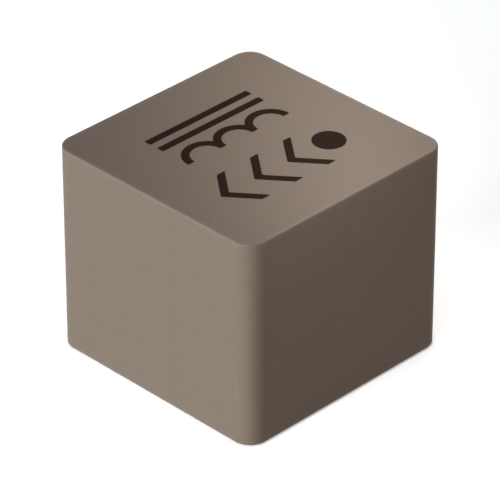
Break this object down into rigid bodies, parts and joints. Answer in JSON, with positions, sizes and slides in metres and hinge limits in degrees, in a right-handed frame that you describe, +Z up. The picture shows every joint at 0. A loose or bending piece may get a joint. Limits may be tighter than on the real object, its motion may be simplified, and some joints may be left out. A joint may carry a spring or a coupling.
{
  "type": "shielded smd inductor",
  "caption": "Square block of pressed magnetic composite with rounded upright corners, a buried edge-wound coil of flat wire, and flat solder terminals in its underside.",
  "frame": {"origin": "on the seating plane, which is the plane of the two soldering faces, under the middle of the block", "axes": "+Z up, away from the circuit board; +X towards the terminal where the winding starts; +Y towards the side where both leads leave the coil, which is up in the printed sign"},
  "size_m": [0.0066, 0.0066, 0.0057],
  "materials": {
    "composite": "pressed metal powder in resin, warm grey-brown, fine even grain with a faint sheen",
    "enamelled_copper": "rolled flat copper wire under clear amber enamel",
    "tinned_copper": "matt tin plating on copper strip"
  },
  "bodies": {
    "root": {"core_block": "composite", "winding": "enamelled_copper", "start_terminal": "tinned_copper", "finish_terminal": "tinned_copper"}
  },
  "joints": []
}
